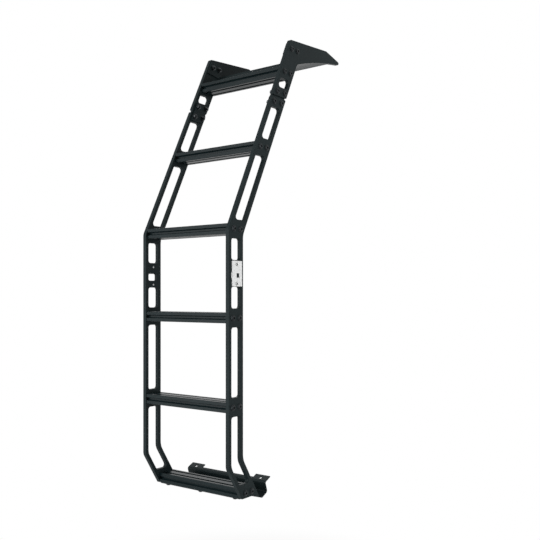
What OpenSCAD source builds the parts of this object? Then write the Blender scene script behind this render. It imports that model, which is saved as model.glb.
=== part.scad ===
// Hook-on rear door ladder: two windowed plate rails, six slotted treads,
// a pair of hook plates with a bearing tray, and a folded lower bracket.
// Millimetres. +Z is up, +Y points at the vehicle, the two sides mirror about X = 0.
// Heights below are measured from the rails' lower edge, and depths from the rails' front edge.

/* [Ladder] */
// Width over the outer faces of the two rails
ladder_w = 342; // [300:1:400]
// Rise from one tread to the next
tread_rise = 253; // [250:0.5:256]
// Height of the bottom step's middle above the rails' lower edge
bottom_step_z = 15.5; // [15.5:0.5:18]

/* [Side rails] */
// Thickness of the rail and hook plates
plate_t = 12.5; // [10:0.5:14]
// Depth of a rail, square to its edges
rail_depth = 64; // [64:1:70]
// Width of metal left beside a window
rail_border = 11.5; // [9:0.5:13]
// Corner radius of the windows
window_r = 8; // [4:1:10]
// Lean of the upper rail from upright, in degrees
upper_lean = 26.3; // [24:0.1:28]
// Lean of the lower rail from upright, in degrees
lower_lean = 32; // [30:0.5:34]
// Height of the upper bend on the front edge
upper_bend_z = 773.6; // [768:0.1:780]
// Height of the lower bend on the front edge
lower_bend_z = 96.9; // [92:0.1:102]
// Rounding of the bends on the front edge
bend_front_r = 27; // [10:1:40]
// Rounding of the bends on the rear edge
bend_rear_r = 50; // [20:1:60]
// Height of the rails' upper end
rail_top_z = 1191.5; // [1185:0.5:1193]
// Half the height of the solid band at a tread
band_half = 27; // [22:1:32]
// Half the height of the solid band midway up the rail
mid_band_half = 38; // [36:1:42]
// Solid length above a rail's top window
splice_band = 33; // [30:1:36]

/* [Middle band] */
// Distance between the two screw holes of the middle band
mid_hole_pitch = 54.3; // [52:0.1:58]
// Height of the small window of the middle band
mid_window_h = 21; // [16:1:24]
// Drop of the small window's middle below the band's middle
mid_window_drop = 6; // [3:0.5:7]
// Rear edge of the small window
mid_window_rear = 48.5; // [44:0.5:50]
// Width of the blank plate on the right rail
side_plate_w = 44.5; // [42:0.5:46]
// Height of the blank plate on the right rail
side_plate_h = 72.5; // [68:0.5:74]
// Thickness of the blank plate
side_plate_t = 1.5; // [1:0.1:2]
// Height of the opening in the blank plate
plate_slot_h = 12.5; // [8:0.5:14]
// Depth of the opening in the blank plate, front to rear
plate_slot_w = 16; // [10:1:20]

/* [Treads] */
// Depth of a tread, front to rear
tread_depth = 60; // [60:1:62]
// Height of a tread
tread_h = 30; // [30:1:31]
// Distance between the two lengthwise slots of a face, and between the end bolts
slot_pitch = 30; // [29:0.5:31]
// Opening of a lengthwise slot
slot_w = 10.6; // [9.8:0.1:11]
// Thickness of the lips beside a slot
lip_t = 2.2; // [1.8:0.1:2.6]
// Width of the hollow behind the lips
cavity_w = 16.5; // [15:0.1:17]
// Depth of a slot from the face to its floor
slot_depth = 9; // [8.6:0.1:9.4]
// Width of a slot's floor
slot_floor_w = 4.8; // [4:0.2:6]
// Diameter of the two lengthwise cores
core_d = 6.8; // [6:0.1:7.2]

/* [Hook plates] */
// Gap between the rail's upper end and the hook plate
splice_gap = 5.6; // [4:0.2:8]
// Height of the hook's front shoulder
shoulder_z = 1388.5; // [1380:0.5:1395]
// Depth of the crest of the hook's top edge
crest_y = 515; // [500:1:530]
// Height of the crest of the hook's top edge
crest_z = 1408.5; // [1404:0.5:1414]
// Depth of the hook's tip before rounding
tip_y = 597; // [585:1:610]
// Height of the tip's upper corner before rounding
tip_z = 1390.5; // [1388:0.5:1394]
// Length of the blunt end of the tip
tip_end = 9; // [9:0.5:11]
// Height where the bearing edge starts at the hook's rear edge
seat_start_z = 1319.5; // [1315:0.5:1325]
// Radius of the gently arched bearing edge
seat_r = 1450; // [1200:10:2000]
// Fillet between the bearing edge and the rear edge
throat_r = 22; // [12:1:26]
// Corner radius where rail and hook plate meet at the gap
joint_r = 3.5; // [2:0.5:6]
// Depth of the locating key that sits in the gap
key_depth = 8; // [4:1:9]

/* [Hook tray] */
// Sheet thickness of the tray
tray_t = 4; // [3:0.5:5]
// Depth of the front lip's face
tray_front_y = 350; // [348:0.5:356]
// Depth of the tray's rear edge
tray_rear_y = 537; // [500:1:545]
// Height of the front lip above the bearing edge
tray_lip_h = 16; // [12:0.5:20]
// Distance between the two bolts of an ear
ear_pitch = 31; // [28:0.5:32]

/* [Lower bracket] */
// Sheet thickness of the bracket
bracket_t = 3; // [2.5:0.5:4]
// Depth of the bracket's front edge
bracket_front_y = 63.5; // [61:0.5:64]
// Depth where the bracket folds down behind the bottom step
bracket_fold_y = 112; // [100:1:120]
// Depth of the bracket's lowest fold
bracket_low_y = 172; // [165:1:178]
// Drop of the lowest fold below the flat of the bracket
bracket_drop = 19.5; // [16:0.5:22]
// Depth of the fold at the foot of the rear wall
wall_foot_y = 197; // [192:1:202]
// Drop of the rear wall's foot below the flat of the bracket
wall_foot_drop = 7.5; // [6:0.5:9]
// Height of the rear wall
wall_h = 32; // [29:1:36]
// Forward lean of the rear wall from upright, in degrees
wall_lean = 17.5; // [12:0.5:22]
// Rise of the fixing tabs from level, in degrees
tab_rise = 25; // [20:0.5:30]
// Length of a fixing tab
tab_len = 28; // [26:1:32]
// Width of a fixing tab
tab_w = 53.5; // [45:0.5:60]
// Diameter of the hole in a tab
tab_hole_d = 9; // [8.4:0.1:10]
// Distance of the outer bracket bolts from the middle
bracket_bolt_x = 134; // [110:1:140]

/* [Fasteners] */
// Diameter of the bolts
bolt_d = 8; // [7.8:0.1:8]
// Flange diameter of the button heads
flange_d = 18; // [16:0.5:19]
// Height of the button heads
head_h = 5; // [4:0.2:5.4]
// Distance between the two bolts of a splice row
splice_pitch = 37; // [34:0.5:39]
// Thickness of the splice plates
splice_t = 5; // [4:0.5:6]
// Height of the flanged nuts
nut_h = 6.5; // [5.5:0.5:7]
// Length of thread past a nut
thread_end = 4; // [2:0.5:5]
// Diameter of the small screws of the middle band
screw_d = 6; // [5:0.1:6]

/* [Hidden] */

coat_black = "#22282a";
tread_black = "#2b3133";
bolt_black = "#1c2022";
nut_steel = "#8f9496";
plate_white = "#e8eaea";
sides = [-1, 1];
arc_steps = 6;
round_fn = 48;
edge_r = 2;
bolt_clearance = 1;
thread_gap = 0.1;
screw_clearance = 0.6;
through = 1;

outer_x = ladder_w / 2;
inner_x = outer_x - plate_t;
last_step = 5;
hook_bottom_z = rail_top_z + splice_gap;
mid_z = (step_z(2) + step_z(3)) / 2;
splice_low_in = 15;
splice_high_in = 14;
splice_low_z = rail_top_z - splice_low_in;
splice_high_z = hook_bottom_z + splice_high_in;
key_gap = 0.2;
mid_hole_y = rail_depth / 2;
mid_hole_z = mid_z - 2;
mid_window_z = mid_z - mid_window_drop;
mid_window_r = 5;
side_plate_y = 12.5;
side_plate_z = mid_z - 37;
plate_slot_rear = mid_window_rear - 3;
tray_bolt_z = shoulder_z - 28;
tray_bolt_y = edge_y(tray_bolt_z, 0) + 20;
hook_window_low = 29.5;
hook_window_high = 23;

// The bearing edge is an arc from the hook's throat to the lower corner of its tip
seat_start = [edge_y(seat_start_z, rail_depth), seat_start_z];
tip_top = [tip_y, tip_z];
tip_slant = 19;
tip_low = tip_top - tip_end * [sin(tip_slant), cos(tip_slant)];
seat_mid = (seat_start + tip_low) / 2;
seat_half = norm(tip_low - seat_start) / 2;
seat_down = unit([tip_low[1] - seat_start[1], seat_start[0] - tip_low[0]]);
seat_centre = seat_mid + seat_down * sqrt(seat_r * seat_r - seat_half * seat_half);
seat_steps = 8;
crest = [crest_y, crest_z];
shoulder_r = 10;
crest_r = 15;
tip_r = 5;
tip_low_r = 3;

// The bracket's middle line, from its front edge to the end of its tabs
bracket_top_z = bottom_step_z - tread_h / 2;
bracket_flat_z = bracket_top_z - bracket_t / 2;
wall_foot = [wall_foot_y, bracket_flat_z - wall_foot_drop];
wall_head = wall_foot + wall_h * [-sin(wall_lean), cos(wall_lean)];
tab_dir = [cos(tab_rise), sin(tab_rise)];
bracket_line = [
    [bracket_front_y, bracket_flat_z],
    [bracket_fold_y, bracket_flat_z],
    [bracket_low_y, bracket_flat_z - bracket_drop],
    wall_foot,
    wall_head,
    wall_head + tab_len * tab_dir
];
bracket_bend_r = 5;
bracket_x = inner_x - 0.5;
tab_stub = 11;
tab_mid = wall_head + tab_len / 2 * tab_dir;
bracket_bolt_y = step_y(0) - slot_pitch / 2;

// The rail's toe runs down beside the bracket's floor until it meets the rail's rear edge
floor_slope = bracket_drop / (bracket_low_y - bracket_fold_y);
toe_y = (edge_y(0, rail_depth) - bracket_fold_y * floor_slope * tan(lower_lean))
    / (1 - floor_slope * tan(lower_lean));
toe_z = -(toe_y - bracket_fold_y) * floor_slope;
toe_bend_r = 12;

// The frame's origin lies midway between the front edge and the tips, level with the lowest fold
low_side = offset_line(bracket_line, -bracket_t / 2);
low_r = bracket_bend_r + bracket_t;
lowest_z = fillet_centre(low_side[1], low_side[2], low_side[3], low_r)[1] - low_r;
reach_y = fillet_centre(crest, tip_top, tip_low, tip_r)[0] + tip_r;

function step_z(i) = bottom_step_z + tread_rise * i;

function unit(v) = v / norm(v);

function cross_z(a, b) = a[0] * b[1] - a[1] * b[0];

// Depth of a line that follows the rail's bends at a given inset from its front edge
function edge_y(z, inset) = max(
    inset,
    (z - upper_bend_z) * tan(upper_lean) + inset / cos(upper_lean),
    (lower_bend_z - z) * tan(lower_lean) + inset / cos(lower_lean));

function upper_bend(inset) = [inset, upper_bend_z - inset * tan(upper_lean / 2)];

function lower_bend(inset) = [inset, lower_bend_z + inset * tan(lower_lean / 2)];

function step_y(i) = (edge_y(step_z(i), 0) + edge_y(step_z(i), rail_depth)) / 2;

function between(p, z1, z2) = p[1] > z1 && p[1] < z2;

// Middle of the circle that rounds the corner p between its neighbours a and b
function fillet_centre(a, p, b, r) =
    let (u = unit(a - p), v = unit(b - p), half = acos(u * v) / 2)
    p + unit(u + v) * r / sin(half);

// Points of a rounded corner, or the corner itself where the radius is nought
function corner(a, p, b, r) = r == 0 ? [p] :
    let (
        c = fillet_centre(a, p, b, r),
        half = acos(unit(a - p) * unit(b - p)) / 2,
        first = p + unit(a - p) * r / tan(half) - c,
        turn = sign(cross_z(p - a, b - p)) * (180 - 2 * half),
        start = atan2(first[1], first[0])
    )
    [for (i = [0 : arc_steps]) let (a = start + turn * i / arc_steps) c + r * [cos(a), sin(a)]];

function flat(p) = [p[0], p[1]];

// Outline through corners given as [depth, height, radius]
function rounded(pts) =
    let (n = len(pts))
    [for (i = [0 : n - 1])
        each corner(flat(pts[(i + n - 1) % n]), flat(pts[i]), flat(pts[(i + 1) % n]), pts[i][2])];

// Corners of a strip of the rail between two heights and two insets, bends included
function strip(z1, z2, near, far, low_r, high_r, near_r, far_r) = concat(
    [[edge_y(z1, near), z1, low_r]],
    [for (p = [lower_bend(near), upper_bend(near)]) if (between(p, z1, z2)) [p[0], p[1], near_r]],
    [[edge_y(z2, near), z2, high_r], [edge_y(z2, far), z2, high_r]],
    [for (p = [upper_bend(far), lower_bend(far)]) if (between(p, z1, z2)) [p[0], p[1], far_r]],
    [[edge_y(z1, far), z1, low_r]]);

function window(z1, z2) = rounded(strip(
    z1, z2, rail_border, rail_depth - rail_border, window_r, window_r,
    bend_front_r + rail_border, bend_rear_r - rail_border));

// Lower and upper height of each window of a rail
rail_windows = concat(
    [for (i = [0, 1, 3]) [step_z(i) + band_half, step_z(i + 1) - band_half]],
    [[step_z(2) + band_half, mid_z - mid_band_half],
     [mid_z + mid_band_half, step_z(3) - band_half],
     [step_z(4) + band_half, rail_top_z - splice_band]]);

// Height of the bearing edge, or of a line lifted square from it
function seat_z(y, lift = 0) =
    seat_centre[1] + sqrt(pow(seat_r + lift, 2) - pow(y - seat_centre[0], 2));

function seat_line(y1, y2, lift = 0) =
    [for (i = [0 : seat_steps]) let (y = y1 + (y2 - y1) * i / seat_steps) [y, seat_z(y, lift)]];

// Points of a bent sheet's face, set off to one side of its middle line
function offset_line(line, shift) =
    let (
        n = len(line) - 1,
        normals = [for (i = [0 : n - 1]) let (d = unit(line[i + 1] - line[i])) [-d[1], d[0]]]
    )
    [for (i = [0 : n])
        i == 0 ? line[0] + normals[0] * shift :
        i == n ? line[n] + normals[n - 1] * shift :
        line[i] + (normals[i - 1] + normals[i]) * shift / (1 + normals[i - 1] * normals[i])];

// One face of a bent sheet with its bend radii, larger on the outside of each bend
function sheet_face(line, t, bend_r, side) =
    let (pts = offset_line(line, side * t / 2), n = len(line) - 1)
    [for (i = [0 : n])
        let (turn = i == 0 || i == n ? 0 : side * cross_z(line[i] - line[i - 1], line[i + 1] - line[i]))
        [pts[i][0], pts[i][1], turn == 0 ? 0 : turn > 0 ? bend_r : bend_r + t]];

function reversed(list) = [for (i = [len(list) - 1 : -1 : 0]) list[i]];

function bent_sheet(line, t, bend_r) =
    rounded(concat(sheet_face(line, t, bend_r, 1), reversed(sheet_face(line, t, bend_r, -1))));

// Centres of the bolts at each tread, and of the other rows, as [depth, height]
step_bolt_points = [for (i = [0 : last_step], s = sides) [step_y(i) + s * slot_pitch / 2, step_z(i)]];
splice_low_points = [for (s = sides) splice_point(splice_low_z, s)];
splice_high_points = [for (s = sides) splice_point(splice_high_z, s)];
tray_bolt_points = [for (s = [0, 1]) [tray_bolt_y + s * ear_pitch, tray_bolt_z]];
mid_hole_points = [for (s = sides) [mid_hole_y, mid_hole_z + s * mid_hole_pitch / 2]];

function splice_point(z, s) = [(edge_y(z, 0) + edge_y(z, rail_depth)) / 2 + s * splice_pitch / 2, z];

function on_rail(points, low, high) = [for (p = points) if (p[1] > low && p[1] < high) p];

// Moves the ladder from its own datum to the frame's origin
module placed() {
    translate([0, -reach_y / 2, -lowest_z]) children();
}

// Extrudes a drawing of depth and height along X
module along_x(from, length) {
    translate([from, 0, 0]) rotate([90, 0, 90]) linear_extrude(length) children();
}

// Stands a fastener on a plane square to X, with its head pointing outwards
module on_side(side, x, p) {
    translate([side * x, p[0], p[1]]) rotate([0, side * 90, 0]) children();
}

module holes(points, d) {
    for (p = points) translate(p) circle(d = d, $fn = round_fn);
}

// Side rail: a kinked plate cut through by windows between the treads
module rail_drawing() {
    edge = strip(0, rail_top_z, 0, rail_depth, edge_r, joint_r, bend_front_r, bend_rear_r);
    difference() {
        polygon(rounded(concat(
            [for (i = [0 : len(edge) - 2]) edge[i]],
            [[toe_y, toe_z, edge_r], [bracket_fold_y, 0, toe_bend_r]])));
        for (w = rail_windows) polygon(window(w[0], w[1]));
        mid_window();
        holes(on_rail(step_bolt_points, 0, rail_top_z), bolt_d + bolt_clearance);
        holes(splice_low_points, bolt_d + bolt_clearance);
        holes(mid_hole_points, screw_d + screw_clearance);
    }
}

module mid_window() {
    z1 = mid_window_z - mid_window_h / 2;
    z2 = mid_window_z + mid_window_h / 2;
    polygon(rounded([
        for (p = [[rail_border, z1], [rail_border, z2], [mid_window_rear, z2], [mid_window_rear, z1]])
            [p[0], p[1], mid_window_r]]));
}

module rail(side) {
    color(coat_black) placed() along_x(side > 0 ? inner_x : -outer_x, plate_t) rail_drawing();
}

module left_rail() { rail(-1); }
module right_rail() { rail(1); }

// Hook plate: a beak whose arched lower edge bears on the roof's rear edge
module hook_drawing() {
    seat = reversed(seat_line(seat_start[0], tip_low[0]));
    difference() {
        polygon(rounded(concat(
            [[edge_y(hook_bottom_z, 0), hook_bottom_z, joint_r],
             [edge_y(shoulder_z, 0), shoulder_z, shoulder_r],
             [crest[0], crest[1], crest_r],
             [tip_top[0], tip_top[1], tip_r],
             [tip_low[0], tip_low[1], tip_low_r]],
            [for (i = [1 : seat_steps - 1]) [seat[i][0], seat[i][1], 0]],
            [[seat_start[0], seat_start[1], throat_r],
             [edge_y(hook_bottom_z, rail_depth), hook_bottom_z, joint_r]])));
        polygon(window(hook_bottom_z + hook_window_low, step_z(last_step) - hook_window_high));
        holes(on_rail(step_bolt_points, hook_bottom_z, shoulder_z), bolt_d + bolt_clearance);
        holes(splice_high_points, bolt_d + bolt_clearance);
        holes(tray_bolt_points, bolt_d + bolt_clearance);
    }
}

module hook_plate(side) {
    color(coat_black) placed() along_x(side > 0 ? inner_x : -outer_x, plate_t) hook_drawing();
}

module left_hook_plate() { hook_plate(-1); }
module right_hook_plate() { hook_plate(1); }

// Splice plate: lies on the inner faces across the gap, with a key that fills the gap's inner part
module splice_plate_drawing() {
    inset = 8;
    margin = 15;
    plate_r = 4;
    difference() {
        polygon(rounded(strip(
            splice_low_z - margin, splice_high_z + margin, inset, rail_depth - inset,
            plate_r, plate_r, 0, 0)));
        holes(concat(splice_low_points, splice_high_points), bolt_d + bolt_clearance);
    }
}

module splice_key_drawing() {
    front_inset = 2;
    rear_inset = 3;
    polygon(rounded(strip(
        rail_top_z + key_gap, hook_bottom_z - key_gap, front_inset, rail_depth - rear_inset, 0, 0, 0, 0)));
}

module splice_plate(side) {
    color(coat_black) placed() {
        along_x(side > 0 ? inner_x - splice_t : -inner_x, splice_t) splice_plate_drawing();
        along_x(side > 0 ? inner_x : -inner_x - key_depth, key_depth) splice_key_drawing();
    }
}

module left_splice_plate() { splice_plate(-1); }
module right_splice_plate() { splice_plate(1); }

// Lengthwise slot of a tread, drawn with its mouth on the line v = 0 and its floor below
module slot() {
    mouth = slot_w / 2;
    wide = cavity_w / 2;
    floor_half = slot_floor_w / 2;
    knee = slot_depth - (wide - floor_half);
    polygon([
        [-mouth, through], [-mouth, -lip_t], [-wide, -lip_t], [-wide, -knee], [-floor_half, -slot_depth],
        [floor_half, -slot_depth], [wide, -knee], [wide, -lip_t], [mouth, -lip_t], [mouth, through]]);
}

// Hollow between the two cores of a tread
module tread_hollow() {
    waist = 4;
    belly = 8.5;
    top = tread_h / 2 - 3.5;
    neck = top - 2;
    hip = 5;
    polygon([
        [waist, top], [waist, neck], [belly, hip], [belly, -hip], [waist, -neck], [waist, -top],
        [-waist, -top], [-waist, -neck], [-belly, -hip], [-belly, hip], [-waist, neck], [-waist, top]]);
}

module tread_drawing() {
    u = tread_depth / 2;
    v = tread_h / 2;
    difference() {
        polygon(rounded([[-u, -v, edge_r], [-u, v, edge_r], [u, v, edge_r], [u, -v, edge_r]]));
        for (s = sides) {
            translate([s * slot_pitch / 2, v]) slot();
            translate([s * slot_pitch / 2, -v]) rotate(180) slot();
            translate([s * u, 0]) rotate(-s * 90) slot();
        }
        holes([for (s = sides) [s * slot_pitch / 2, 0]], core_d);
        tread_hollow();
    }
}

// Tread: a slotted bar whose two cores are tapped at both ends
module tread(i) {
    tapped = 28;
    color(tread_black) placed() difference() {
        along_x(-inner_x, 2 * inner_x) translate([step_y(i), step_z(i)]) tread_drawing();
        for (side = sides, s = sides)
            on_side(side, inner_x - tapped, [step_y(i) + s * slot_pitch / 2, step_z(i)])
                cylinder(d = bolt_d + thread_gap, h = tapped + through, $fn = round_fn);
    }
}

module bottom_step() { tread(0); }
module second_step() { tread(1); }
module third_step() { tread(2); }
module fourth_step() { tread(3); }
module fifth_step() { tread(4); }
module top_step() { tread(last_step); }

// Hook tray: arched floor, turned-up front lip and an ear on each hook plate
module tray_floor_drawing() {
    bend_r = 2;
    lip_top = seat_z(tray_front_y) + tray_lip_h;
    under = seat_line(tray_front_y, tray_rear_y);
    over = reversed(seat_line(tray_front_y + tray_t, tray_rear_y, tray_t));
    polygon(rounded(concat(
        [for (i = [0 : seat_steps]) [under[i][0], under[i][1], i == 0 ? tray_t + bend_r : 0]],
        [for (i = [0 : seat_steps]) [over[i][0], over[i][1], i == seat_steps ? bend_r : 0]],
        [[tray_front_y + tray_t, lip_top, 0], [tray_front_y, lip_top, 0]])));
}

module tray_ear_drawing() {
    inset = 3;
    foot_z = tray_bolt_z - 22;
    head_z = tray_bolt_z + 21;
    head_r = 8;
    rear_y = tray_front_y + tray_t;
    rear_rise = 3;
    rear_r = 6;
    root_z = seat_z(tray_front_y) + tray_lip_h / 2;
    difference() {
        polygon(rounded([
            [edge_y(foot_z, inset), foot_z, edge_r],
            [edge_y(head_z, inset), head_z, head_r],
            [rear_y, head_z + rear_rise, rear_r],
            [rear_y, root_z, 0],
            [tray_front_y, root_z, 0]]));
        holes(tray_bolt_points, bolt_d + bolt_clearance);
    }
}

module hook_tray() {
    color(coat_black) placed() {
        along_x(-inner_x, 2 * inner_x) tray_floor_drawing();
        for (side = sides)
            along_x(side > 0 ? inner_x - tray_t : -inner_x, tray_t) tray_ear_drawing();
    }
}

// Lower bracket: folded sheet bolted under the bottom step, with a holed tab at each end
module lower_bracket() {
    between_tabs = bracket_x - tab_w;
    color(coat_black) placed() difference() {
        along_x(-bracket_x, 2 * bracket_x) polygon(bent_sheet(bracket_line, bracket_t, bracket_bend_r));
        translate([-between_tabs, wall_head[0] + tab_stub, wall_head[1]])
            cube([2 * between_tabs, tab_len, tab_len]);
        for (side = sides)
            translate([side * (bracket_x - tab_w / 2), tab_mid[0], tab_mid[1]])
                rotate([tab_rise, 0, 0])
                    cylinder(d = tab_hole_d, h = 4 * bracket_t, center = true, $fn = round_fn);
        for (k = [-1 : 1])
            translate([k * bracket_bolt_x, bracket_bolt_y, bracket_flat_z])
                cylinder(d = bolt_d + bolt_clearance, h = 2 * bracket_t, center = true, $fn = round_fn);
    }
}

// Blank plate screwed on the outside of the right rail, with a small opening over the rail's own
module side_plate() {
    y2 = side_plate_y + side_plate_w;
    z2 = side_plate_z + side_plate_h;
    color(plate_white) placed() along_x(outer_x, side_plate_t) difference() {
        polygon(rounded([
            for (p = [[side_plate_y, side_plate_z], [side_plate_y, z2], [y2, z2], [y2, side_plate_z]])
                [p[0], p[1], edge_r]]));
        translate([plate_slot_rear - plate_slot_w, mid_window_z - plate_slot_h / 2])
            square([plate_slot_w, plate_slot_h]);
        holes(mid_hole_points, screw_d + screw_clearance);
    }
}

// Button-head bolt: head above the plane z = 0, shank below it
module button_bolt(d, flange, head, length) {
    rim = 0.25 * head;
    dome_foot = 1.3 * rim;
    dome_r = 0.39 * flange;
    socket_r = 0.2 * flange;
    socket_floor = 0.45 * head;
    crown_r = socket_r + 0.6;
    tip_chamfer = 0.1 * d;
    difference() {
        rotate_extrude($fn = round_fn) polygon(concat(
            [[0, -length], [d / 2 - tip_chamfer, -length], [d / 2, tip_chamfer - length],
             [d / 2, 0], [flange / 2, 0], [flange / 2, rim]],
            [for (a = [0 : 18 : 90])
                [crown_r + (dome_r - crown_r) * cos(a), dome_foot + (head - dome_foot) * sin(a)]],
            [[0, head]]));
        translate([0, 0, socket_floor]) cylinder(r = socket_r, h = head, $fn = 6);
    }
}

// Flanged hexagon nut standing on the plane z = 0
module flange_nut() {
    across_flats = 13;
    nut_flange_d = flange_d - 1;
    nut_flange_h = 1.6;
    difference() {
        union() {
            cylinder(d = nut_flange_d, h = nut_flange_h, $fn = round_fn);
            cylinder(d = across_flats / cos(30), h = nut_h, $fn = 6);
        }
        translate([0, 0, -through])
            cylinder(d = bolt_d + thread_gap, h = nut_h + 2 * through, $fn = round_fn);
    }
}

// Bolts through both rails or hook plates, reaching a given length past the plate's inner face
module side_bolts(points, reach) {
    color(bolt_black) placed()
        for (side = sides, p = points)
            on_side(side, outer_x, p) button_bolt(bolt_d, flange_d, head_h, plate_t + reach);
}

// Nuts on the inner side, standing on a piece of the given thickness
module inner_nuts(points, stack) {
    color(bolt_black) placed()
        for (side = sides, p = points)
            on_side(-side, stack - inner_x, p) flange_nut();
}

splice_points = concat(splice_low_points, splice_high_points);
step_bolt_reach = 24;

module step_bolts() { side_bolts(step_bolt_points, step_bolt_reach); }
module splice_bolts() { side_bolts(splice_points, splice_t + nut_h + thread_end); }
module splice_nuts() { inner_nuts(splice_points, splice_t); }
module tray_bolts() { side_bolts(tray_bolt_points, tray_t + nut_h + thread_end); }
module tray_nuts() { inner_nuts(tray_bolt_points, tray_t); }

// Small screws of the middle band, through the blank plate on the right
module rail_screws() {
    screw_head_d = 11;
    screw_head_h = 3;
    screw_end = 0.5;
    color(nut_steel) placed()
        for (side = sides, p = mid_hole_points) {
            under = side > 0 ? side_plate_t : 0;
            on_side(side, outer_x + under, p)
                button_bolt(screw_d, screw_head_d, screw_head_h, plate_t + under + screw_end);
        }
}

module bracket_bolts() {
    floor_gap = 2;
    length = bracket_t + slot_depth - floor_gap;
    color(bolt_black) placed()
        for (k = [-1 : 1])
            translate([k * bracket_bolt_x, bracket_bolt_y, bracket_top_z - bracket_t])
                rotate([180, 0, 0]) button_bolt(bolt_d, flange_d, head_h, length);
}

// Slot nuts: sit behind the lips of the bottom step's lower front slot
module bracket_slot_nuts() {
    nut_len = 18;
    play = 0.5;
    neck = slot_w / 2 - play;
    neck_low = 0.4;
    wing = cavity_w / 2 - play;
    headroom = 1.6;
    depth = slot_depth - headroom;
    crown = slot_floor_w / 2 + headroom - play;
    knee = depth - wing + crown;
    bore_gap = 0.08;
    color(nut_steel) placed()
        for (k = [-1 : 1]) difference() {
            along_x(k * bracket_bolt_x - nut_len / 2, nut_len)
                translate([bracket_bolt_y, bracket_top_z]) polygon([
                    [-neck, neck_low], [-neck, lip_t], [-wing, lip_t], [-wing, knee],
                    [-crown, depth], [crown, depth],
                    [wing, knee], [wing, lip_t], [neck, lip_t], [neck, neck_low]]);
            translate([k * bracket_bolt_x, bracket_bolt_y, bracket_top_z])
                cylinder(d = bolt_d + bore_gap, h = 2 * slot_depth, $fn = round_fn);
        }
}

left_rail();
right_rail();
left_hook_plate();
right_hook_plate();
left_splice_plate();
right_splice_plate();
bottom_step();
second_step();
third_step();
fourth_step();
fifth_step();
top_step();
hook_tray();
lower_bracket();
side_plate();
rail_screws();
step_bolts();
splice_bolts();
splice_nuts();
tray_bolts();
tray_nuts();
bracket_bolts();
bracket_slot_nuts();
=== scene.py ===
import math

import bpy
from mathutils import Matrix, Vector


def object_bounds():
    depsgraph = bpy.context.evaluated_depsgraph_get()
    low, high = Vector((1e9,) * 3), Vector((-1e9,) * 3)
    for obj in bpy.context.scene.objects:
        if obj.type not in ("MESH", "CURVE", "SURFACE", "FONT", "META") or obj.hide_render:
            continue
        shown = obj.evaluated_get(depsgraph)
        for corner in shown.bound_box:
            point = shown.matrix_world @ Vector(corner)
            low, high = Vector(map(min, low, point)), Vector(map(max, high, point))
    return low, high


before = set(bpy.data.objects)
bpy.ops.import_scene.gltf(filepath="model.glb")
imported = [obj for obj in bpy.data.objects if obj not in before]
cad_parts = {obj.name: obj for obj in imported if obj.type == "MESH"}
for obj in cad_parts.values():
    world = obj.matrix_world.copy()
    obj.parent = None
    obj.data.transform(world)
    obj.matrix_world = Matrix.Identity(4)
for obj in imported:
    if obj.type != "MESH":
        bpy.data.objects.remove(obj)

# Looks of the hook-on ladder: coated plates, slotted treads, black bolts and a blank white plate.
# Lengths are metres, in the ladder's own frame: +Z up, +Y towards the vehicle.

cad_low, cad_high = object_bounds()

# Camera: level, to the right of the ladder's front, with the horizon below the middle of the image
IMAGE_PX = 540
FOCAL_PX = 728.9
SENSOR_MM = 36.0
CAMERA_AZIMUTH = math.radians(36.3)
CAMERA_FROM_FRONT_EDGE = Vector((1.4719, -1.5776, 0.605))
HORIZON_BELOW_MIDDLE_PX = 26.1
AXIS_LEFT_OF_MIDDLE_PX = 0.16

# Studio: the floor lies where the ground is under a ladder that hangs on a vehicle
FLOOR_DROP = 0.45
FLOOR_HALF = 30.0
FLOOR_NEAR_WHITE = 0.72
FLOOR_NEAR = 0.4
FLOOR_FAR = 1.0
WORLD_LEVEL = 0.15
FLOOR_PALE = (0.9, 0.9, 0.9, 1)
WHITE = (1, 1, 1, 1)

# Softboxes: place, width and height, radiance, and the point that each one faces
LADDER_FRONT = Vector((0, -0.25, 0.7))
LADDER_MIDDLE = Vector((0, -0.1, 0.7))
SOFTBOXES = {
    "front_softbox": ((-0.4, -3.0, 1.0), (1.8, 2.8), 4.6, LADDER_FRONT),
    "front_left_softbox": ((-1.1, -1.8, 0.85), (0.8, 2.3), 2.9, LADDER_FRONT),
    "right_softbox": ((1.5, 0.1, 0.9), (0.9, 2.2), 2.5, LADDER_MIDDLE),
    "back_left_softbox": ((-2.4, 2.0, 2.6), (1.4, 1.4), 2.6, LADDER_MIDDLE),
}

# Finishes, as linear colours
COAT_BLACK = (0.0118, 0.018, 0.0193, 1)
# Lighter coat colour on the edges: rubbed wear, and also a painted edge highlight.
COAT_WEAR_AND_SHEEN = (0.024, 0.032, 0.034, 1)
TREAD_BLACK = (0.005, 0.0105, 0.012, 1)
# Lighter tread colour on the edges: wear by shoes, and also a painted edge highlight.
TREAD_WEAR_AND_SHEEN = (0.04, 0.047, 0.049, 1)
OXIDE_BLACK = (0.024, 0.027, 0.029, 1)
OXIDE_RUBBED = (0.08, 0.088, 0.093, 1)
NUT_BLACK = (0.055, 0.06, 0.063, 1)
NUT_RUBBED = (0.14, 0.15, 0.155, 1)
ZINC = (0.42, 0.425, 0.425, 1)
ZINC_DULL = (0.24, 0.245, 0.24, 1)
ENAMEL_WHITE = (0.89, 0.9, 0.9, 1)
ENAMEL_SOILED = (0.62, 0.63, 0.62, 1)

# How far the shade of a finish drifts, as a share of its colour, and its roughness
COAT_DRIFT, COAT_ROUGH_DRIFT = 0.14, 0.04
TREAD_DRIFT, TREAD_ROUGH_DRIFT = 0.15, 0.06
TREAD_ROUGH = 0.3

# Eased edges of the thick plates
EASE_WIDTH = 0.0009
EASE_SEGMENTS = 2
SHARP_ANGLE = math.radians(40)
FLAT_ANGLE = math.radians(0.5)
JOIN_DISTANCE = 0.00001

# Die lines run along X, so the pattern is drawn out that way
DIE_STRETCH = (0.004, 1.0, 1.0)

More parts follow.
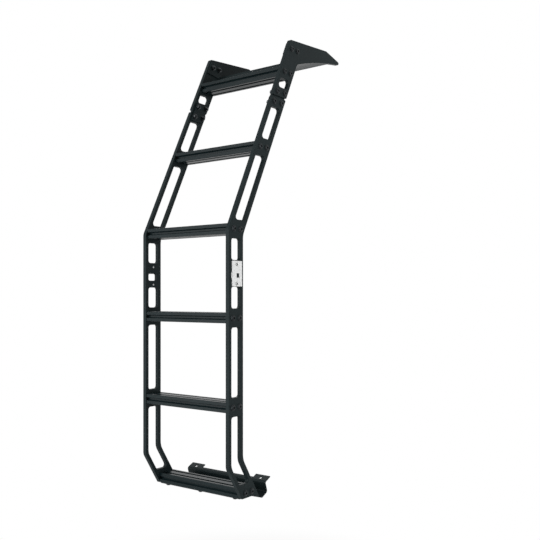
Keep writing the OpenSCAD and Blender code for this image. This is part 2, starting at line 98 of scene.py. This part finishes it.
THICK_PLATES = ["left_rail", "right_rail", "left_hook_plate", "right_hook_plate"]
THIN_PLATES = ["left_splice_plate", "right_splice_plate", "hook_tray", "lower_bracket"]
TREADS = ["bottom_step", "second_step", "third_step", "fourth_step", "fifth_step", "top_step"]
BLACK_BOLTS = ["step_bolts", "splice_bolts", "tray_bolts", "bracket_bolts"]
BLACK_NUTS = ["splice_nuts", "tray_nuts"]
BRIGHT_FASTENERS = ["rail_screws", "bracket_slot_nuts"]


# Node helpers

def put(tree, kind, place, **settings):
    """Adds a node and sets its own properties."""
    made = tree.nodes.new(kind)
    made.location = place
    for name, value in settings.items():
        setattr(made, name, value)
    return made


def feed(tree, node, **inputs):
    """Sets a node's inputs: a socket is linked, anything else becomes the input's value."""
    for name, value in inputs.items():
        target = node.inputs[name.replace("_", " ")]
        if isinstance(value, bpy.types.NodeSocket):
            tree.links.new(value, target)
        else:
            target.default_value = value
    return node


def new_group(name, inputs, outputs):
    """An empty shader group. Inputs are {name: default}, outputs are {name: socket type}."""
    tree = bpy.data.node_groups.new(name, "ShaderNodeTree")
    for label, default in inputs.items():
        socket = tree.interface.new_socket(label, in_out="INPUT", socket_type="NodeSocketFloat")
        socket.default_value = default
    for label, kind in outputs.items():
        tree.interface.new_socket(label, in_out="OUTPUT", socket_type=kind)
    return tree, put(tree, "NodeGroupInput", (-900, 0)), put(tree, "NodeGroupOutput", (700, 0))


def use_group(tree, group, place, **inputs):
    made = put(tree, "ShaderNodeGroup", place, node_tree=group)
    return feed(tree, made, **inputs)


# Shared effects

def coat_grain_group():
    """Fine orange peel of a sprayed coat, and a slow drift of its shade."""
    tree, into, out = new_group(
        "coat_grain", {"Grain": 900.0, "Drift": 7.0},
        {"Shade": "NodeSocketFloat", "Height": "NodeSocketFloat"})
    where = put(tree, "ShaderNodeTexCoord", (-900, 250)).outputs["Object"]
    peel = put(tree, "ShaderNodeTexNoise", (-600, 150))
    feed(tree, peel, Vector=where, Scale=into.outputs["Grain"], Detail=2.0, Roughness=0.45)
    drift = put(tree, "ShaderNodeTexNoise", (-600, -150))
    feed(tree, drift, Vector=where, Scale=into.outputs["Drift"], Detail=3.0, Roughness=0.6)
    shade = put(tree, "ShaderNodeMapRange", (-250, -150))
    feed(tree, shade, Value=drift.outputs["Fac"], From_Min=0.3, From_Max=0.7)
    tree.links.new(shade.outputs["Result"], out.inputs["Shade"])
    tree.links.new(peel.outputs["Fac"], out.inputs["Height"])
    return tree


def edge_patches_group():
    """Mask of edges, broken into patches. It places rubbed edge wear, which on the coat and the
    treads is lighter and is also a painted edge highlight, and it places the soiled edges of the
    enamel.
    """
    tree, into, out = new_group(
        "edge_patches", {"Width": 0.001, "Patches": 25.0}, {"Edge Mask": "NodeSocketFloat"})
    eased = put(tree, "ShaderNodeBevel", (-650, 200), samples=4)
    feed(tree, eased, Radius=into.outputs["Width"])
    surface = put(tree, "ShaderNodeNewGeometry", (-650, 0))
    turn = put(tree, "ShaderNodeVectorMath", (-400, 150), operation="DOT_PRODUCT")
    tree.links.new(eased.outputs["Normal"], turn.inputs[0])
    tree.links.new(surface.outputs["Normal"], turn.inputs[1])
    edge = put(tree, "ShaderNodeMapRange", (-150, 150))
    feed(tree, edge, Value=turn.outputs["Value"], From_Min=0.99, From_Max=0.8)
    where = put(tree, "ShaderNodeTexCoord", (-900, -250)).outputs["Object"]
    patches = put(tree, "ShaderNodeTexNoise", (-650, -250))
    feed(tree, patches, Vector=where, Scale=into.outputs["Patches"], Detail=4.0, Roughness=0.65)
    broken = put(tree, "ShaderNodeMapRange", (-400, -250))
    feed(tree, broken, Value=patches.outputs["Fac"], From_Min=0.3, From_Max=0.75)
    patched_edges = put(tree, "ShaderNodeMath", (100, 0), operation="MULTIPLY")
    tree.links.new(edge.outputs["Result"], patched_edges.inputs[0])
    tree.links.new(broken.outputs["Result"], patched_edges.inputs[1])
    tree.links.new(patched_edges.outputs["Value"], out.inputs["Edge Mask"])
    return tree


def die_lines_group():
    """Fine lines along X, as an extrusion die leaves them."""
    tree, into, out = new_group(
        "die_lines", {"Fineness": 700.0}, {"Line": "NodeSocketFloat"})
    where = put(tree, "ShaderNodeTexCoord", (-900, 250)).outputs["Object"]
    stretch = put(tree, "ShaderNodeVectorMath", (-650, 150), operation="MULTIPLY")
    tree.links.new(where, stretch.inputs[0])
    stretch.inputs[1].default_value = DIE_STRETCH
    lines = put(tree, "ShaderNodeTexNoise", (-400, 150))
    feed(tree, lines, Vector=stretch.outputs["Vector"], Scale=into.outputs["Fineness"],
         Detail=3.0, Roughness=0.55)
    tree.links.new(lines.outputs["Fac"], out.inputs["Line"])
    return tree


COAT_GRAIN = coat_grain_group()
EDGE_PATCHES = edge_patches_group()
DIE_LINES = die_lines_group()


# Finishes

def new_finish(name, roughness, metallic=0.0, gloss=0.5):
    """A material with a Principled shader, whose plain values are set on its own sockets."""
    finish = bpy.data.materials.new(name)
    finish.use_nodes = True
    tree = finish.node_tree
    shader = tree.nodes["Principled BSDF"]
    feed(tree, shader, Roughness=roughness, Metallic=metallic, IOR=1.5, Specular_IOR_Level=gloss)
    return finish, tree, shader


def blend_colour(tree, amount, first, second, place):
    """Colour that goes from first to second with amount."""
    mix = put(tree, "ShaderNodeMix", place, data_type="RGBA")
    for socket, value in ((mix.inputs[0], amount), (mix.inputs[6], first), (mix.inputs[7], second)):
        if isinstance(value, bpy.types.NodeSocket):
            tree.links.new(value, socket)
        else:
            socket.default_value = value
    return mix.outputs[2]


def vary(tree, value, low, high, place):
    """Spreads a nought-to-one value between two limits."""
    spread = put(tree, "ShaderNodeMapRange", place)
    feed(tree, spread, Value=value, To_Min=low, To_Max=high)
    return spread.outputs["Result"]


def scaled(colour, factor):
    return tuple(c * factor for c in colour[:3]) + (1,)


def drifting(tree, amount, colour, drift, place):
    """Colour that goes from a darker to a lighter shade with amount."""
    return blend_colour(tree, amount, scaled(colour, 1 - drift), scaled(colour, 1 + drift), place)


def emboss(tree, shader, height, depth, strength):
    """Raises the surface by a height map."""
    bump = put(tree, "ShaderNodeBump", (-150, -350))
    feed(tree, bump, Height=height, Distance=depth, Strength=strength)
    tree.links.new(bump.outputs["Normal"], shader.inputs["Normal"])


def coated_metal(name, colour, edge_colour, roughness, gloss, grain, depth, edge_width, metallic=0.0):
    """Dark coat with orange peel, a drifting shade and lighter edges in patches: rubbed wear, which
    on the powder coat is also a painted edge highlight.
    """
    finish, tree, shader = new_finish(name, roughness, metallic, gloss)
    texture = use_group(tree, COAT_GRAIN, (-800, 200), Grain=grain)
    edge_mask = use_group(tree, EDGE_PATCHES, (-800, -100), Width=edge_width)
    shade = drifting(tree, texture.outputs["Shade"], colour, COAT_DRIFT, (-500, 250))
    # Edges go to the lighter edge colour: rubbed wear, and on the powder coat also a painted edge
    # highlight.
    edged_colour = blend_colour(tree, edge_mask.outputs["Edge Mask"], shade, edge_colour, (-250, 250))
    satin = vary(
        tree, texture.outputs["Shade"],
        roughness - COAT_ROUGH_DRIFT, roughness + COAT_ROUGH_DRIFT, (-500, -50))
    feed(tree, shader, Base_Color=edged_colour, Roughness=satin)
    emboss(tree, shader, texture.outputs["Height"], depth, 0.35)
    return finish


def tread_anodise():
    """Black anodised extrusion: lengthwise die lines, and lighter edges in patches that are worn by
    shoes and are also a painted edge highlight.
    """
    finish, tree, shader = new_finish("tread_anodise", TREAD_ROUGH, gloss=0.1)
    lines = use_group(tree, DIE_LINES, (-800, 250))
    texture = use_group(tree, COAT_GRAIN, (-800, 50), Grain=1500.0, Drift=11.0)
    edge_mask = use_group(tree, EDGE_PATCHES, (-800, -200), Width=0.0012, Patches=20.0)
    shade = drifting(tree, texture.outputs["Shade"], TREAD_BLACK, TREAD_DRIFT, (-500, 250))
    # Lighter edge patches: shoe wear and a painted edge highlight.
    edged_colour = blend_colour(tree, edge_mask.outputs["Edge Mask"], shade, TREAD_WEAR_AND_SHEEN, (-250, 250))
    gloss = vary(
        tree, lines.outputs["Line"],
        TREAD_ROUGH - TREAD_ROUGH_DRIFT, TREAD_ROUGH + TREAD_ROUGH_DRIFT, (-500, -50))
    feed(tree, shader, Base_Color=edged_colour, Roughness=gloss)
    emboss(tree, shader, lines.outputs["Line"], 0.00005, 0.3)
    return finish


def bright_zinc():
    """Zinc plate with a cloudy passivated film."""
    finish, tree, shader = new_finish("bright_zinc", 0.32, metallic=1.0)
    texture = use_group(tree, COAT_GRAIN, (-800, 200), Grain=1800.0, Drift=120.0)
    cloud = blend_colour(tree, texture.outputs["Shade"], ZINC_DULL, ZINC, (-450, 250))
    gloss = vary(tree, texture.outputs["Shade"], 0.24, 0.42, (-450, -50))
    feed(tree, shader, Base_Color=cloud, Roughness=gloss)
    emboss(tree, shader, texture.outputs["Height"], 0.0001, 0.25)
    return finish


def white_enamel():
    """Blank enamelled plate, a little soiled towards its edges."""
    finish, tree, shader = new_finish("white_enamel", 0.3)
    texture = use_group(tree, COAT_GRAIN, (-800, 200), Grain=1100.0, Drift=55.0)
    edge_mask = use_group(tree, EDGE_PATCHES, (-800, -100), Width=0.0012, Patches=90.0)
    body = blend_colour(
        tree, texture.outputs["Shade"], scaled(ENAMEL_WHITE, 0.96), ENAMEL_WHITE, (-500, 250))
    soiled = blend_colour(tree, edge_mask.outputs["Edge Mask"], body, ENAMEL_SOILED, (-250, 250))
    gloss = vary(tree, texture.outputs["Shade"], 0.26, 0.36, (-500, -50))
    feed(tree, shader, Base_Color=soiled, Roughness=gloss)
    emboss(tree, shader, texture.outputs["Height"], 0.0001, 0.2)
    return finish


def paint(nodes, finish):
    """Gives CAD nodes a finish."""
    for name in nodes:
        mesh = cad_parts[name].data
        mesh.materials.clear()
        mesh.materials.append(finish)


def ease_edges(nodes, width):
    """Rounds the sharp edges of CAD nodes by a small bevel."""
    for name in nodes:
        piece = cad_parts[name]
        join = piece.modifiers.new("join_faces", "WELD")
        join.merge_threshold = JOIN_DISTANCE
        flat = piece.modifiers.new("flat_faces", "DECIMATE")
        flat.decimate_type = "DISSOLVE"
        flat.angle_limit = FLAT_ANGLE
        ease = piece.modifiers.new("eased_edges", "BEVEL")
        ease.width = width
        ease.segments = EASE_SEGMENTS
        ease.limit_method = "ANGLE"
        ease.angle_limit = SHARP_ANGLE
        ease.use_clamp_overlap = False
        ease.harden_normals = True


# Studio

def white_background(tree, place):
    """One for camera, glossy and transmission rays, which see plain white, else nought."""
    x, y = place
    path = put(tree, "ShaderNodeLightPath", (x, y + 250))
    seen = put(tree, "ShaderNodeMath", (x + 200, y + 250), operation="MAXIMUM")
    tree.links.new(path.outputs["Is Camera Ray"], seen.inputs[0])
    tree.links.new(path.outputs["Is Glossy Ray"], seen.inputs[1])
    shown = put(tree, "ShaderNodeMath", (x + 400, y + 250), operation="MAXIMUM")
    tree.links.new(seen.outputs["Value"], shown.inputs[0])
    tree.links.new(path.outputs["Is Transmission Ray"], shown.inputs[1])
    return shown.outputs["Value"]


def make_world():
    world = bpy.data.worlds.new("studio")
    bpy.context.scene.world = world
    world.use_nodes = True
    tree = world.node_tree
    lit = tree.nodes["Background"]
    feed(tree, lit, Color=WHITE, Strength=WORLD_LEVEL)
    white = put(tree, "ShaderNodeBackground", (0, -200))
    feed(tree, white, Color=WHITE, Strength=1.0)
    mix = put(tree, "ShaderNodeMixShader", (250, 0))
    tree.links.new(white_background(tree, (-600, 0)), mix.inputs[0])
    tree.links.new(lit.outputs[0], mix.inputs[1])
    tree.links.new(white.outputs[0], mix.inputs[2])
    tree.links.new(mix.outputs[0], tree.nodes["World Output"].inputs["Surface"])


def floor_finish():
    """White floor that still takes a soft shadow."""
    finish, tree, shader = new_finish("studio_floor", 0.9)
    feed(tree, shader, Base_Color=FLOOR_PALE)
    glow = put(tree, "ShaderNodeEmission", (0, -300))
    feed(tree, glow, Color=WHITE, Strength=1.0)
    where = put(tree, "ShaderNodeTexCoord", (-800, 0)).outputs["Object"]
    away = put(tree, "ShaderNodeVectorMath", (-600, 0), operation="LENGTH")
    tree.links.new(where, away.inputs[0])
    fade = put(tree, "ShaderNodeMapRange", (-400, 0), interpolation_type="SMOOTHSTEP")
    feed(tree, fade, Value=away.outputs["Value"], From_Min=FLOOR_NEAR, From_Max=FLOOR_FAR,
         To_Min=FLOOR_NEAR_WHITE, To_Max=1.0)
    share = put(tree, "ShaderNodeMath", (150, 200), operation="MULTIPLY")
    tree.links.new(white_background(tree, (-800, 200)), share.inputs[0])
    tree.links.new(fade.outputs["Result"], share.inputs[1])
    mix = put(tree, "ShaderNodeMixShader", (400, 0))
    tree.links.new(share.outputs["Value"], mix.inputs[0])
    tree.links.new(shader.outputs[0], mix.inputs[1])
    tree.links.new(glow.outputs[0], mix.inputs[2])
    tree.links.new(mix.outputs[0], tree.nodes["Material Output"].inputs["Surface"])
    return finish


def make_floor():
    h = FLOOR_HALF
    mesh = bpy.data.meshes.new("floor")
    mesh.from_pydata([(-h, -h, 0), (h, -h, 0), (h, h, 0), (-h, h, 0)], [], [(0, 1, 2, 3)])
    mesh.materials.append(floor_finish())
    floor = bpy.data.objects.new("floor", mesh)
    floor.location.z = cad_low.z - FLOOR_DROP
    bpy.context.scene.collection.objects.link(floor)


def make_softbox(name, place, size, radiance, aim):
    """Soft area light, out of the camera's sight."""
    lamp = bpy.data.lights.new(name, "AREA")
    lamp.shape = "RECTANGLE"
    lamp.size, lamp.size_y = size
    lamp.energy = radiance * math.pi * size[0] * size[1]
    box = bpy.data.objects.new(name, lamp)
    box.location = place
    box.visible_camera = False
    box.rotation_euler = (aim - Vector(place)).to_track_quat("-Z", "Y").to_euler()
    bpy.context.scene.collection.objects.link(box)


def make_lights():
    for name, settings in SOFTBOXES.items():
        make_softbox(name, *settings)


def make_camera():
    data = bpy.data.cameras.new("photo_camera")
    data.sensor_width = SENSOR_MM
    data.lens = FOCAL_PX / IMAGE_PX * SENSOR_MM
    data.shift_x = AXIS_LEFT_OF_MIDDLE_PX / IMAGE_PX
    data.shift_y = HORIZON_BELOW_MIDDLE_PX / IMAGE_PX
    camera = bpy.data.objects.new("photo_camera", data)
    camera.location = CAMERA_FROM_FRONT_EDGE + Vector((0, cad_low.y, 0))
    camera.rotation_euler = (math.radians(90), 0, CAMERA_AZIMUTH)
    bpy.context.scene.collection.objects.link(camera)
    bpy.context.scene.camera = camera


make_camera()
make_world()
make_floor()
make_lights()

ease_edges(THICK_PLATES, EASE_WIDTH)

powder_coat = coated_metal(
    "powder_coat", COAT_BLACK, COAT_WEAR_AND_SHEEN,
    roughness=0.42, gloss=0.06, grain=900.0, depth=0.0001, edge_width=0.001)
black_oxide = coated_metal(
    "black_oxide", OXIDE_BLACK, OXIDE_RUBBED,
    roughness=0.16, gloss=0.5, grain=1600.0, depth=0.00005, edge_width=0.0005, metallic=1.0)
# The nuts get a lighter, rougher copy of the bolts' black oxide.
lighter_oxide = coated_metal(
    "lighter_oxide", NUT_BLACK, NUT_RUBBED,
    roughness=0.3, gloss=0.5, grain=1600.0, depth=0.00005, edge_width=0.0005, metallic=1.0)

paint(THICK_PLATES + THIN_PLATES, powder_coat)
paint(TREADS, tread_anodise())
paint(BLACK_BOLTS, black_oxide)
paint(BLACK_NUTS, lighter_oxide)
paint(BRIGHT_FASTENERS, bright_zinc())
paint(["side_plate"], white_enamel())

bpy.context.scene.view_settings.view_transform = "Standard"
